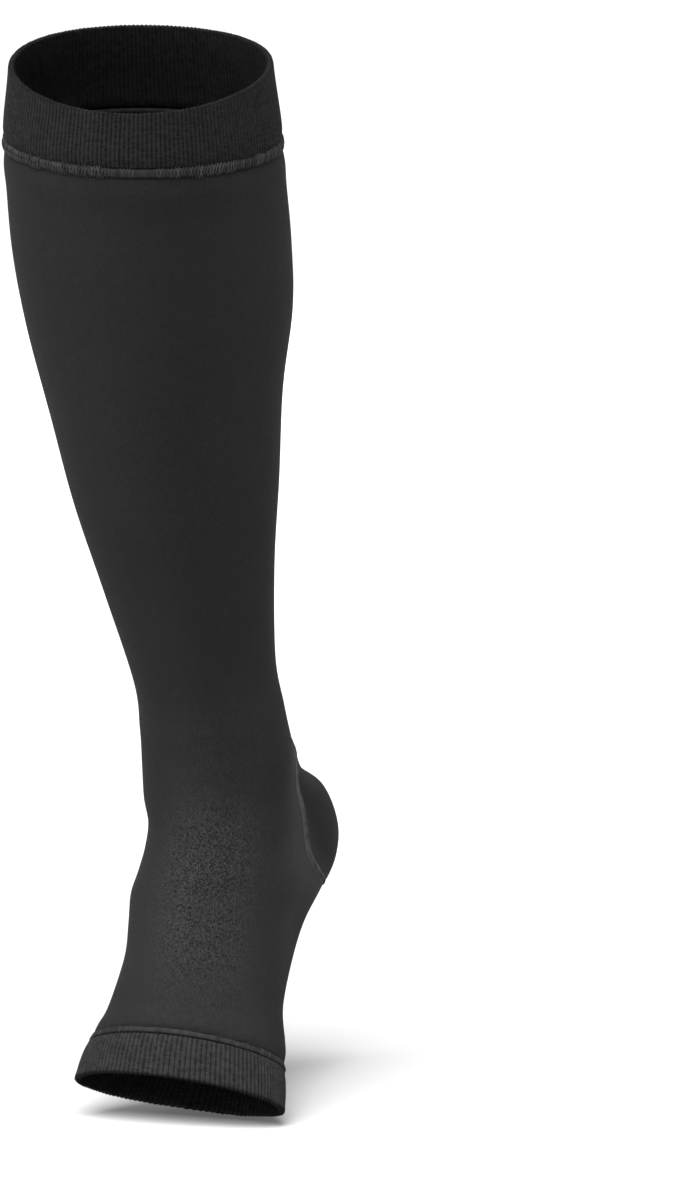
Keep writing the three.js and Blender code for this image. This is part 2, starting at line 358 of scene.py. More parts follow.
def named_value(tree, name, kind="FLOAT"):
    node = put(tree, "GeometryNodeInputNamedAttribute", {"Name": name}, data_type=kind)
    return node.outputs[0]


def end_tree(tree, geometry, material):
    real = put(tree, "GeometryNodeRealizeInstances", {"Geometry": geometry})
    smoothed = put(tree, "GeometryNodeSetShadeSmooth", {"Geometry": real.outputs[0]})
    finished = put(tree, "GeometryNodeSetMaterial",
                   {"Geometry": smoothed.outputs[0], "Material": material})
    put(tree, "NodeGroupOutput", {"Geometry": finished.outputs[0]})


def rib_tree():
    """Raises ribs along a band, as many as its Ribs input says, each a little different."""
    tree = bpy.data.node_groups.get("raise_ribs")
    if tree:
        return tree
    tree = new_tree("raise_ribs", [
        ("Ribs", "NodeSocketInt", 190, None),
        ("Rise", "NodeSocketFloat", 0.5 * MM, "DISTANCE"),
        ("Roundness", "NodeSocketFloat", 0.6, "NONE"),
        ("Unevenness", "NodeSocketFloat", 0.2, "FACTOR"),
        ("Seed", "NodeSocketInt", 5, None),
        ("Material", "NodeSocketMaterial", None, None),
    ])
    given = put(tree, "NodeGroupInput").outputs
    count = maths(tree, "MULTIPLY", named_value(tree, "round"), given["Ribs"])
    number = maths(tree, "FLOOR", maths(tree, "ADD", count, 0.5))
    wave = maths(tree, "COSINE", maths(tree, "MULTIPLY", count, 2 * math.pi))
    crest = maths(tree, "POWER", maths(tree, "MULTIPLY_ADD", wave, 0.5, 0.5), given["Roundness"])
    low = maths(tree, "SUBTRACT", 1.0, given["Unevenness"])
    varied = maths(tree, "MULTIPLY", crest, random_value(tree, low, 1.0, given["Seed"], number))
    shown = maths(tree, "MULTIPLY", varied, named_value(tree, "show"))
    height = maths(tree, "MULTIPLY", shown, given["Rise"])
    normal = put(tree, "GeometryNodeInputNormal").outputs[0]
    offset = put(tree, "ShaderNodeVectorMath", {0: normal, "Scale": height}, operation="SCALE")
    raised = put(tree, "GeometryNodeSetPosition",
                 {"Geometry": given["Geometry"], "Offset": offset.outputs[0]})
    crests = put(tree, "GeometryNodeStoreNamedAttribute",
                 {"Geometry": raised.outputs[0], "Name": "crest", "Value": crest},
                 data_type="FLOAT", domain="POINT")
    end_tree(tree, crests.outputs[0], given["Material"])
    return tree


def stitch_tree():
    """Lays crossed stitches along a line, each two arched threads that cross it."""
    tree = bpy.data.node_groups.get("lay_stitches")
    if tree:
        return tree
    tree = new_tree("lay_stitches", [
        ("Spacing", "NodeSocketFloat", 1.2 * MM, "DISTANCE"),
        ("Height", "NodeSocketFloat", 3.0 * MM, "DISTANCE"),
        ("Lean", "NodeSocketFloat", 1.2 * MM, "DISTANCE"),
        ("Arch", "NodeSocketFloat", 1.2 * MM, "DISTANCE"),
        ("Thread", "NodeSocketFloat", 0.4 * MM, "DISTANCE"),
        ("Scatter", "NodeSocketFloat", 0.3, "FACTOR"),
        ("Seed", "NodeSocketInt", 11, None),
        ("Material", "NodeSocketMaterial", None, None),
    ])
    given = put(tree, "NodeGroupInput").outputs
    line = put(tree, "GeometryNodeMeshToCurve", {"Mesh": given["Geometry"]})
    places = put(tree, "GeometryNodeResampleCurve",
                 {"Curve": line.outputs[0], "Length": given["Spacing"]}, mode="LENGTH")
    profile = put(tree, "GeometryNodeCurvePrimitiveCircle",
                  {"Resolution": 5, "Radius": maths(tree, "MULTIPLY", given["Thread"], 0.5)},
                  mode="RADIUS")

    def corner(x, y, z):
        return put(tree, "ShaderNodeCombineXYZ", {0: x, 1: y, 2: z}).outputs[0]

    def times(value, factor):
        return maths(tree, "MULTIPLY", value, factor)

    strands = []
    for side, arch_share in ((1, 1.0), (-1, LOWER_STRAND)):
        reach = times(given["Lean"], 0.5 * side)
        inner = times(given["Lean"], 0.3 * side)
        half = times(given["Height"], 0.5)
        near = times(given["Height"], 0.48)
        crown = times(given["Arch"], HANDLE_FOR_ARCH * arch_share)
        bow = put(tree, "GeometryNodeCurvePrimitiveBezierSegment", {
            "Resolution": 5,
            "Start": corner(times(reach, -1.0), times(half, -1.0), 0.0),
            "Start Handle": corner(times(inner, -1.0), times(near, -1.0), crown),
            "End Handle": corner(inner, near, crown),
            "End": corner(reach, half, 0.0),
        }, mode="POSITION")
        thread = put(tree, "GeometryNodeCurveToMesh", {
            "Curve": bow.outputs[0], "Profile Curve": profile.outputs[0], "Fill Caps": True})
        strands.append(thread.outputs[0])
    stitch = put(tree, "GeometryNodeJoinGeometry")
    for strand in strands:
        tree.links.new(strand, stitch.inputs[0])
    facing = put(tree, "FunctionNodeAxesToRotation", {
        "Primary Axis": named_value(tree, "outwards", "FLOAT_VECTOR"),
        "Secondary Axis": put(tree, "GeometryNodeInputTangent").outputs[0],
    }, primary_axis="Z", secondary_axis="X")
    swing = maths(tree, "MULTIPLY", given["Scatter"],
                  random_value(tree, -1.0, 1.0, given["Seed"]))
    twist = put(tree, "FunctionNodeAxisAngleToRotation", {"Axis": (0, 0, 1), "Angle": swing})
    turned_stitch = put(tree, "FunctionNodeRotateRotation",
                        {"Rotation": facing.outputs[0], "Rotate By": twist.outputs[0]},
                        rotation_space="LOCAL")
    low = maths(tree, "SUBTRACT", 1.0, given["Scatter"])
    size = maths(tree, "MULTIPLY", named_value(tree, "loose"),
                 random_value(tree, low, 1.1, maths(tree, "ADD", given["Seed"], 1.0)))
    laid = put(tree, "GeometryNodeInstanceOnPoints", {
        "Points": places.outputs[0], "Instance": stitch.outputs[0],
        "Rotation": turned_stitch.outputs[0], "Scale": size})
    chance = random_value(tree, 0.0, 1.0, maths(tree, "ADD", given["Seed"], 2.0))
    tint = maths(tree, "MULTIPLY", chance, named_value(tree, "loose"))
    tinted = put(tree, "GeometryNodeStoreNamedAttribute",
                 {"Geometry": laid.outputs[0], "Name": "tint", "Value": tint},
                 data_type="FLOAT", domain="INSTANCE")
    end_tree(tree, tinted.outputs[0], given["Material"])
    return tree


def grown(name, mesh, tree, values):
    """The plain mesh object that a tree makes out of a mesh."""
    source = add_object(name + "_source", mesh)
    modifier = source.modifiers.new("grow", "NODES")
    modifier.node_group = tree
    for item in tree.interface.items_tree:
        if item.in_out == "INPUT" and item.name in values:
            modifier[item.identifier] = values[item.name]
    graph = bpy.context.evaluated_depsgraph_get()
    result = bpy.data.meshes.new_from_object(source.evaluated_get(graph), depsgraph=graph)
    source.modifiers.remove(modifier)
    bpy.data.objects.remove(source)
    result.name = name
    return add_object(name, result)


# materials

# How much more speckled with painted glints, more paired and lighter with painted light the knit
# is where light is painted on it, and how much lighter with painted sheen where it is pulled thin
GLINTS_WHERE_LIT, PAIRED_WHERE_LIT, PAINTED_LIGHT_WHERE_LIT, SHEEN_WHERE_THIN = 1.35, 0.3, 0.45, 1.1

# The heel's yarn beside the leg's, and the gore's thread beside the seams'
HEEL_SHADE, GORE_SHADE = 0.54, 1.35


def group_of(name, inputs, outputs, build):
    """A shader node group with these sockets, built once."""
    group = bpy.data.node_groups.get(name)
    if group:
        return group
    group = bpy.data.node_groups.new(name, "ShaderNodeTree")
    for label, kind, default in inputs:
        socket = group.interface.new_socket(label, in_out="INPUT", socket_type=kind)
        if default is not None:
            socket.default_value = default
    for label, kind in outputs:
        group.interface.new_socket(label, in_out="OUTPUT", socket_type=kind)
    given = put(group, "NodeGroupInput").outputs
    put(group, "NodeGroupOutput", build(group, given))
    return group


def knit_loops():
    """Columns of nested V stitches, from a map that counts columns and rows.

    With Pairing, every other stitch stands out, as over an inlaid elastic yarn.
    """
    def build(tree, given):
        place = put(tree, "ShaderNodeSeparateXYZ", {0: given["Stitches"]}).outputs
        column = maths(tree, "FLOOR", place[0])
        from_centre = maths(tree, "SUBTRACT", maths(tree, "FRACT", place[0]), 0.5)
        side = maths(tree, "MULTIPLY", maths(tree, "ABSOLUTE", from_centre), 2.0)
        slanted = maths(tree, "MULTIPLY_ADD", side, given["Slant"], place[1])
        row = maths(tree, "FLOOR", slanted)
        in_row = maths(tree, "FRACT", slanted)
        yarn = maths(tree, "SINE", maths(tree, "MULTIPLY", in_row, math.pi))
        leg = maths(tree, "SINE", maths(tree, "MULTIPLY", side, math.pi))
        crowned = maths(tree, "MULTIPLY_ADD", leg, 0.7, 0.3)
        height = maths(tree, "MULTIPLY", maths(tree, "POWER", yarn, 0.7), crowned)
        across = maths(tree, "COSINE", maths(tree, "MULTIPLY", place[0], math.pi))
        down = maths(tree, "COSINE", maths(tree, "MULTIPLY", place[1], math.pi))
        paired = maths(tree, "MULTIPLY", maths(tree, "MULTIPLY", across, down), given["Pairing"])
        cell = put(tree, "ShaderNodeCombineXYZ", {0: column, 1: row, 2: 0.0}).outputs[0]
        chance = put(tree, "ShaderNodeTexWhiteNoise", {0: cell}, noise_dimensions="3D").outputs[0]
        centred = maths(tree, "SUBTRACT", chance, 0.5)
        spread = maths(tree, "MULTIPLY", centred, given["Unevenness"])
        tone = maths(tree, "ADD", maths(tree, "ADD", spread, paired), 1.0)
        return {"Height": maths(tree, "ADD", height, paired), "Tone": tone}

    return group_of("knit_loops", [
        ("Stitches", "NodeSocketVector", None),
        ("Slant", "NodeSocketFloat", 0.9),
        ("Unevenness", "NodeSocketFloat", 0.5),
        ("Pairing", "NodeSocketFloat", 0.2),
    ], [("Height", "NodeSocketFloat"), ("Tone", "NodeSocketFloat")], build)


def yarn_tone():
    """Soft clouds of lighter and darker yarn, and fine fuzz on it."""
    def build(tree, given):
        def noise(scale, detail):
            return put(tree, "ShaderNodeTexNoise", {
                "Vector": given["Place"], "Scale": scale, "Detail": detail}).outputs[0]

        def centred(value, amount):
            return maths(tree, "MULTIPLY", maths(tree, "SUBTRACT", value, 0.5), amount)

        fuzz = noise(given["Fuzz Scale"], 2.0)
        clouds = centred(noise(given["Cloud Scale"], 2.0), given["Clouds"])
        tone = maths(tree, "ADD", clouds, centred(fuzz, given["Fuzz"]))
        return {"Tone": maths(tree, "ADD", tone, 1.0), "Fuzz": fuzz}

    return group_of("yarn_tone", [
        ("Place", "NodeSocketVector", None),
        ("Cloud Scale", "NodeSocketFloat", 30.0),
        ("Clouds", "NodeSocketFloat", 0.3),
        ("Fuzz Scale", "NodeSocketFloat", 1500.0),
        ("Fuzz", "NodeSocketFloat", 0.5),
    ], [("Tone", "NodeSocketFloat"), ("Fuzz", "NodeSocketFloat")], build)


def shader(name, roughness, sheen):
    """A material with its shader, and the constants set on the shader's own sockets."""
    material = bpy.data.materials.new(name)
    material.use_nodes = True
    tree = material.node_tree
    surface_node = tree.nodes["Principled BSDF"]
    surface_node.inputs["Roughness"].default_value = roughness
    surface_node.inputs["Specular IOR Level"].default_value = 0.02
    surface_node.inputs["Sheen Weight"].default_value = sheen
    surface_node.inputs["Sheen Roughness"].default_value = 0.35
    surface_node.inputs["Sheen Tint"].default_value = (0.8, 0.8, 0.82, 1)
    return material, tree, surface_node


def painted(tree, name):
    """A value that was stored on the mesh under this name."""
    return put(tree, "ShaderNodeAttribute", attribute_name=name).outputs["Fac"]


def use_group(tree, group, inputs):
    return put(tree, "ShaderNodeGroup", inputs, node_tree=group).outputs


def shaded(tree, colour, *factors):
    """A colour multiplied by some factors."""
    factor = factors[0]
    for other in factors[1:]:
        factor = maths(tree, "MULTIPLY", factor, other)
    node = put(tree, "ShaderNodeVectorMath", {0: tuple(colour), "Scale": factor},
               operation="SCALE")
    return node.outputs[0]


def bump(tree, height, distance, strength, under=None):
    inputs = {"Height": height, "Distance": distance, "Strength": strength}
    if under is not None:
        inputs["Normal"] = under
    return put(tree, "ShaderNodeBump", inputs).outputs[0]


def knitted_finish(name, colour, slant, unevenness, pairing, depth, roughness, crests=False):
    """The finish of a knitted cloth. With crests, it paints shade between the ribs and the band's
    painted shade and light.
    """
    material = bpy.data.materials.get(name)
    if material:
        return material
    material, tree, surface_node = shader(name, roughness, 0.01)
    stitches = put(tree, "ShaderNodeUVMap", uv_map="Stitches").outputs[0]
    place = put(tree, "ShaderNodeTexCoord").outputs["Object"]
    # Painted light: the knit is lighter and speckled with painted glints over the lit instep,
    # foot and shin
    lit_area_mask = painted(tree, "open")
    lit_glints = maths(tree, "POWER", lit_area_mask, 2.0)
    loops = use_group(tree, knit_loops(), {
        "Stitches": stitches, "Slant": slant,
        "Unevenness": maths(tree, "MULTIPLY_ADD", lit_glints, GLINTS_WHERE_LIT, unevenness),
        "Pairing": maths(tree, "MULTIPLY_ADD", lit_area_mask, PAIRED_WHERE_LIT, pairing)})
    yarn = use_group(tree, yarn_tone(), {
        "Place": place, "Cloud Scale": 22.0, "Clouds": 0.22, "Fuzz Scale": 1400.0, "Fuzz": 0.3})
    # Painted shade: the knit is darker in the hollows between its loops
    hollow_shade = maths(tree, "MULTIPLY_ADD", loops["Height"], 0.7, 0.65)
    # Painted light over the lit instep and foot, and painted sheen beside the heel pocket and in
    # the arch
    painted_light = maths(tree, "ADD", maths(tree, "MULTIPLY_ADD", lit_area_mask, PAINTED_LIGHT_WHERE_LIT, 1.0),
                  maths(tree, "MULTIPLY", painted(tree, "thin"), SHEEN_WHERE_THIN))
    factors = [loops["Tone"], yarn["Tone"], hollow_shade, painted_light]
    if crests:
        # Painted shade in the grooves between the ribs, then the band's painted shade and light
        factors.append(maths(tree, "MULTIPLY_ADD", painted(tree, "crest"), 0.5, 0.6))
        factors.append(painted(tree, "shade"))
    tree.links.new(shaded(tree, colour, *factors), surface_node.inputs["Base Color"])
    fuzz = bump(tree, yarn["Fuzz"], 0.06 * MM, 0.5)
    relief = bump(tree, loops["Height"], depth * MM, 0.8, fuzz)
    tree.links.new(relief, surface_node.inputs["Normal"])
    return material


def thread_finish(name, colour, roughness):
    """The finish of the sewing thread, a little different on each stitch."""
    material = bpy.data.materials.get(name)
    if material:
        return material
    material, tree, surface_node = shader(name, roughness, 0.02)
    place = put(tree, "ShaderNodeTexCoord").outputs["Object"]
    yarn = use_group(tree, yarn_tone(), {
        "Place": place, "Cloud Scale": 160.0, "Clouds": 0.5, "Fuzz Scale": 2600.0, "Fuzz": 0.6})
    stitch_tone = maths(tree, "MULTIPLY_ADD", painted(tree, "tint"), 0.7, 0.65)
    tree.links.new(shaded(tree, colour, yarn["Tone"], stitch_tone),
                   surface_node.inputs["Base Color"])
    tree.links.new(bump(tree, yarn["Fuzz"], 0.08 * MM, 0.6), surface_node.inputs["Normal"])
    return material


def floor_finish(colour):
    material, tree, surface_node = shader("pale_floor", 0.8, 0.0)
    place = put(tree, "ShaderNodeTexCoord").outputs["Object"]
    yarn = use_group(tree, yarn_tone(), {
        "Place": place, "Cloud Scale": 0.6, "Clouds": 0.04, "Fuzz Scale": 40.0, "Fuzz": 0.02})
    tree.links.new(shaded(tree, colour, yarn["Tone"]), surface_node.inputs["Base Color"])
    return material


# settings


def count_setting(label, description, default, least):
    return bpy.props.IntProperty(
        name=label, description=description, default=default, min=least)


def length_setting(label, description, default):
    return bpy.props.FloatProperty(
        name=label, description=description, default=default * MM,
        min=0.0, precision=5, unit="LENGTH", subtype="DISTANCE")


def colour_setting(label, description, default):
    return bpy.props.FloatVectorProperty(
        name=label, description=description, default=default,
        min=0.0, max=1.0, size=3, subtype="COLOR")


class StockingSizes(bpy.types.PropertyGroup):
    """Sizes of the ribs and the stitches."""

    top_ribs: count_setting("Top ribs", "Ribs round the top band", 190, 12)
    top_rib_rise: length_setting("Top rib rise", "How far the top band's ribs stand out", 0.55)
    toe_ribs: count_setting("Toe ribs", "Ribs round the toe band", 124, 12)
    toe_rib_rise: length_setting("Toe rib rise", "How far the toe band's ribs stand out", 0.55)
    columns_round: count_setting(
        "Stitch columns", "Columns of stitches round the leg", 440, 40)
    row_height: length_setting("Row height", "Height of one row of plain stitches", 0.75)
    thread: length_setting("Thread", "Thickness of the sewing thread", 0.48)
    stitch_spacing: length_setting("Stitch spacing", "From one seam stitch to the next", 1.5)


class StockingColours(bpy.types.PropertyGroup):
    """Colours of the yarns and the floor."""

    knit: colour_setting("Knit", "Yarn of the leg, foot and heel", (0.0215, 0.0215, 0.0218))
    rib: colour_setting("Ribs", "Yarn of the two bands", (0.0165, 0.0165, 0.0168))
    thread: colour_setting("Thread", "Thread of the seams", (0.038, 0.038, 0.038))
    floor: colour_setting("Floor", "Paper that the stocking is shown on", (0.42, 0.42, 0.42))


def chosen_colour(name, shade=1.0):
    return [value * shade for value in getattr(bpy.context.scene.stocking_colours, name)]


def knit_finish():
    return knitted_finish("fine_knit", chosen_colour("knit"), slant=0.9, unevenness=0.22,
                          pairing=0.08, depth=0.7, roughness=0.6)


def heel_finish():
    return knitted_finish("heel_knit", chosen_colour("knit", HEEL_SHADE), slant=0.9,
                          unevenness=0.35, pairing=0.1, depth=0.5, roughness=0.6)


def rib_finish():
    return knitted_finish("ribbed_knit", chosen_colour("rib"), slant=0.7, unevenness=0.6,
                          pairing=0.0, depth=0.3, roughness=0.65, crests=True)


def seam_finish():
    return thread_finish("seam_thread", chosen_colour("thread"), roughness=0.7)


def ridge_finish():
    return thread_finish("seam_ridge", chosen_colour("knit"), roughness=0.7)


def gore_finish():
    return thread_finish("gore_thread", chosen_colour("thread", GORE_SHADE), roughness=0.65)


# the knitted tube

# Where the plain knit comes out of the seam below the top band and of the one above the toe
# band, and where its swelling starts beside each
KNIT_FROM_TOP, KNIT_FROM_TOE = 2.6, 2.0
SWELL_FROM_TOP, SWELL_FROM_TOE = 1.4, 1.2

# Painted sheen on the knit pulled thin round the heel pocket: its outline there, beside the
# pocket's own
SHEEN_OUTLINE = 1.03


def top_swell(distance, angle):
    """How the knit is drawn in at the top seam and swells out below it."""
    front = 0.65 + 0.35 * np.cos(angle)
    return (-0.9 * np.exp(-distance / 1.5)
            + 0.8 * front * hill(distance, 9, 7)
            + 0.12 * ripple(angle, 23, 0.4) * np.exp(-distance / 7))


def toe_swell(distance, angle):
    """The same at the toe seam, where the knit also puckers a little."""
    return (-0.7 * np.exp(-distance / 1.4)
            + 0.45 * hill(distance, 6, 5)
            + 0.28 * ripple(angle, 19, 1.7) * np.exp(-distance / 8))


def ankle_folds(course, angle):
    """Very soft folds in front of the ankle and above the heel."""
    front = hill(course, 9.4, 1.1) * hill(angle, -0.2, 0.7)
    back = hill(course, 9.0, 0.9) * hill(np.abs(angle), math.pi, 0.8)
    waves = np.sin(course * 5.2 + 0.8 * np.sin(2 * angle) + 0.3)
    return 0.16 * waves * (front + 1.2 * back)


def painted_light_area(course, angle):
    """Where light is painted on the knit, from 0 to 1: most over the instep and the foot."""
    foot = smooth(course, 9.0, 12.2) * hill(angle, 0.2, 0.7, power=4)
    foot = foot * (1 - 0.6 * smooth(course, 16.5, 19.5))
    shin = 0.4 * hill(course, 8.8, 1.3) * hill(angle, 0.1, 0.75)
    return foot + shin * (1 - foot)


def thin_knit_sheen(course, angle):
    """Painted sheen on the knit pulled thin, from 0 to 1: beside the heel pocket and in the arch.
    """
    sideways = (math.pi - np.abs(angle)) / (HEEL_REACH * DEGREE)
    lengthways = (course - HEEL_MIDDLE) / HEEL_HALF
    beyond_outline = pocket_reach(sideways, lengthways) - SHEEN_OUTLINE
    low = smooth(lengthways, -0.4, 0.9)
    outside = hill(np.maximum(beyond_outline, 0), 0, 0.13 + 0.1 * low)
    inside = hill(np.minimum(beyond_outline, 0), 0, 0.05 + 0.08 * low)
    beside_pocket = outside * inside * smooth(np.abs(sideways), 0.3, 0.7)
    under_arch = hill(course, 16.0, 1.3) * hill(np.abs(angle), 1.6, 0.3)
    return beside_pocket + 0.35 * under_arch * (1 - beside_pocket)


def length_shares(start, end, count):
    """Shares of the way between two courses that part the tube into even lengths."""
    courses = np.linspace(start, end, 500)
    angles = even_angles(24)
    speed = length(along(courses[:, None], angles[None, :])).mean(1)
    travelled = np.concatenate([[0], np.cumsum((speed[1:] + speed[:-1]) / 2)])
    travelled *= courses[1] - courses[0]
    places = np.interp(np.linspace(0, travelled[-1], count), travelled, courses)
    return (places - start) / (end - start), travelled[-1]


class STOCKING_OT_knit_tube(bpy.types.Operator):
    """Knit the leg and the foot as one fine tube"""

    bl_idname = "stocking.knit_tube"
    bl_label = "Knit the Leg and Foot"

    ROWS = 262
    INNER_ROWS = 54
    COLUMNS = 228

    def execute(self, context):
        sizes = context.scene.stocking_sizes
        angles = even_angles(self.COLUMNS)
        from_front = signed(angles)[None, :]
        start = beyond(UNDER_TOP_BAND, angles, KNIT_FROM_TOP)[None, :]
        end = beyond(ABOVE_TOE_BAND, angles, -KNIT_FROM_TOE)[None, :]
        shares, total = length_shares(UNDER_TOP_BAND, ABOVE_TOE_BAND, self.ROWS)
        distance = np.linspace(0, total, self.ROWS)[:, None]
        course = start + shares[:, None] * (end - start)
        swell = (top_swell(distance - SWELL_FROM_TOP, angles[None, :])
                 + toe_swell(total - distance - SWELL_FROM_TOE, angles[None, :])
                 + ankle_folds(course, from_front))
        outside = np.column_stack([shares, shares * 0, shares * 0])
        inner = shares[np.linspace(self.ROWS - 1, 0, self.INNER_ROWS).astype(int)]
        inside = np.column_stack([inner, inner * 0, inner * 0 - KNIT_WALL])
        points = tube_wall(start, end, np.vstack([outside, inside]), angles,
                           self.outer_only(swell))
        # The mesh carries the painted light over the instep and foot and the painted sheen by the
        # heel
        mesh = woven_mesh("knit_tube", points, sizes.columns_round, (1, sizes.row_height / MM), {
            "open": self.outer_only(painted_light_area(course, from_front)),
            "thin": self.outer_only(thin_knit_sheen(course, from_front))})
        finish_piece(add_object("knit_tube", mesh), knit_finish(), "knit", "leg", "foot")
        return {"FINISHED"}

    def outer_only(self, values):
        """The values of the outer face, with none on the inner face."""
        return np.vstack([values, np.zeros((self.INNER_ROWS, self.COLUMNS))])


# the heel pocket

# Width and height of a stitch, how far the pocket stands out at its edge and within it,
# and its painted sheen beside the tube's
HEEL_STITCH = (0.8, 0.7)
POCKET_EDGE, POCKET_CROWN = 0.08, 0.4
POCKET_SHEEN = 1.8

# The gore line: half its width, its height, how much wider and higher it is where it shows,
# and how deep it reaches
GORE_HALF_WIDTH, GORE_HEIGHT = 1.4, 0.3
GORE_WIDER, GORE_HIGHER = 1.3, 0.3
GORE_UNDERSIDE = 0.4

# How deep the gore and the threads are sunk into what carries them
SUNK = 0.1


class STOCKING_OT_heel_pocket(bpy.types.Operator):
    """Knit the heel pocket, a close patch that cups the heel"""

    bl_idname = "stocking.heel_pocket"
    bl_label = "Knit the Heel Pocket"

    GRID = 97

    def execute(self, context):
        steps = np.linspace(-1, 1, self.GRID)
        lengthways, sideways = np.meshgrid(steps, steps, indexing="ij")
        square_reach = np.maximum(np.abs(lengthways), np.abs(sideways))
        rounding = square_reach / np.maximum(pocket_reach(sideways, lengthways), 1e-6)
        angle, course = heel_place(sideways * rounding, lengthways * rounding)
        lift = POCKET_EDGE + POCKET_CROWN * smooth(1 - square_reach, 0.0, 0.08)
        outside = cloth(course, angle, lift)
        inside = cloth(course, angle, np.full_like(lift, -HEEL_WALL))
        # The pocket's knit gets painted sheen along its outline
        mesh = woven_mesh("heel_pocket", outside, None, HEEL_STITCH, {
            "thin": POCKET_SHEEN * thin_knit_sheen(course, signed(angle))}, closes=(False, False))
        self.close(mesh, inside)
        finish_piece(add_object("heel_pocket", mesh), heel_finish(), "knit", "heel")
        return {"FINISHED"}

    def close(self, mesh, inside):
        """Adds the inner face and the rim to the outer face."""
        stitch_width, stitch_height = HEEL_STITCH[0] * MM, HEEL_STITCH[1] * MM
        work = bmesh.new()
        work.from_mesh(mesh)
        work.verts.ensure_lookup_table()
        count = self.GRID
        stitches = work.loops.layers.uv["Stitches"]
        inner = [work.verts.new(point * MM) for point in inside.reshape(-1, 3)]
        outer = list(work.verts)[:count * count]

        def place(i, j):
            return i * count + j

        quads = []
        for i in range(count - 1):
            for j in range(count - 1):
                quads.append([inner[place(i, j)], inner[place(i, j + 1)],
                              inner[place(i + 1, j + 1)], inner[place(i + 1, j)]])
        rim = ([place(0, j) for j in range(count)]
               + [place(i, count - 1) for i in range(1, count)]
               + [place(count - 1, j) for j in range(count - 2, -1, -1)]
               + [place(i, 0) for i in range(count - 2, 0, -1)])
        for here, there in zip(rim, rim[1:] + rim[:1]):
            quads.append([outer[here], outer[there], inner[there], inner[here]])
        for quad in quads:
            face = work.faces.new(quad)
            face.smooth = True
            for loop in face.loops:
                corner = loop.vert.co
                loop[stitches].uv = (corner.x / stitch_width, corner.z / stitch_height)
        work.to_mesh(mesh)
        work.free()


def gore_path(count):
    """Places along the outline of the heel pocket, evenly spaced, and how much each shows."""
    turn = np.linspace(0, 2 * math.pi, 4001)
    cosine, sine = np.cos(turn), np.sin(turn)
    size = 1 / pocket_reach(cosine, sine)
    angle, course = heel_place(cosine * size, sine * size)
    steps = length(np.diff(surface(course, angle), axis=0))
    travelled = np.concatenate([[0], np.cumsum(steps)])
    wanted = np.arange(count) / count * travelled[-1]
    side = np.interp(wanted, travelled, np.abs(cosine * size))
    return (np.interp(wanted, travelled, angle), np.interp(wanted, travelled, course),
            smooth(side, 0.35, 0.85))


class STOCKING_OT_heel_gore(bpy.types.Operator):
    """Run the pale gore line round the heel pocket, with its linked loops"""

    bl_idname = "stocking.heel_gore"
    bl_label = "Link the Heel"

    COLUMNS = 420

    def execute(self, context):
        angle, course, shown = gore_path(self.COLUMNS)
        middle = surface(course, angle)
        normal = outwards(course, angle)
        onward = unit(np.roll(middle, -1, 0) - np.roll(middle, 1, 0))
        across = unit(np.cross(normal, onward))
        width = GORE_HALF_WIDTH + GORE_WIDER * shown
        height = GORE_HEIGHT + GORE_HIGHER * shown
        # Painted highlight: the gore line is lighter towards its top; it is also darker towards
        # the bottom
        highlight_above = 0.9 * (1 - smooth(course, 10.6, 11.6))
        darker_below = 0.4 * smooth(course, 13, 15)
        light = shown * (1.0 + highlight_above - darker_below)
        loops, tints = [], []
        for sideways in np.linspace(1, -1, 11):
            crown = (0.5 + 0.5 * math.cos(math.pi * sideways)) ** 0.7
            loops.append(middle + across * (width * sideways)[:, None]
                         + normal * (height * crown - SUNK)[:, None])
            tints.append(light * crown)
        for sideways in (-0.8, 0.0, 0.8):
            loops.append(middle + across * (width * sideways)[:, None]
                         - normal * GORE_UNDERSIDE)
            tints.append(0 * shown)
        mesh = woven_mesh("heel_gore", np.array(loops), None, (0.6, 0.6),
                          {"tint": np.array(tints)})
        finish_piece(add_object("heel_gore", mesh), gore_finish(), "stitching")
        line = line_mesh("heel_line", middle + normal * (height * 0.6 - SUNK)[:, None], normal,
                         0.6 + 0.4 * shown)
        linked = grown("heel_gore_loops", line, stitch_tree(), {
            "Spacing": 1.3 * MM, "Height": 2.6 * MM, "Lean": 1.2 * MM, "Arch": 0.42 * MM,
            "Thread": 0.4 * MM, "Scatter": 0.25, "Seed": 23, "Material": gore_finish()})
        finish_piece(linked, gore_finish(), "stitching")
        return {"FINISHED"}


def line_mesh(name, points, normals, loose):
    """A closed line through points, with the outward direction and the looseness at each."""
    count = len(points)
    mesh = bpy.data.meshes.new(name)
    edges = [(i, (i + 1) % count) for i in range(count)]
    mesh.from_pydata((points * MM).tolist(), edges, [])
    put_attribute(mesh, "outwards", "FLOAT_VECTOR", "POINT", normals)
    put_attribute(mesh, "loose", "FLOAT", "POINT", np.broadcast_to(loose, (count,)))
    return mesh


# the ribbed bands

# Rows of a band's outer and inner face, columns for each rib, and the shape of the ribs
BAND_ROWS, BAND_INNER_ROWS, COLUMNS_PER_RIB = 16, 9, 6
RIB_ROUNDNESS, RIB_UNEVENNESS = 0.65, 0.25

# How much the ribs show inside a band and on its sewn edge, and the painted shade on its yarn
# inside it and on its edges
SHOWN_INSIDE, SHOWN_SEWN = 0.7, 0.3
PAINTED_SHADE_INSIDE, PAINTED_SHADE_EDGE = 0.8, 0.6


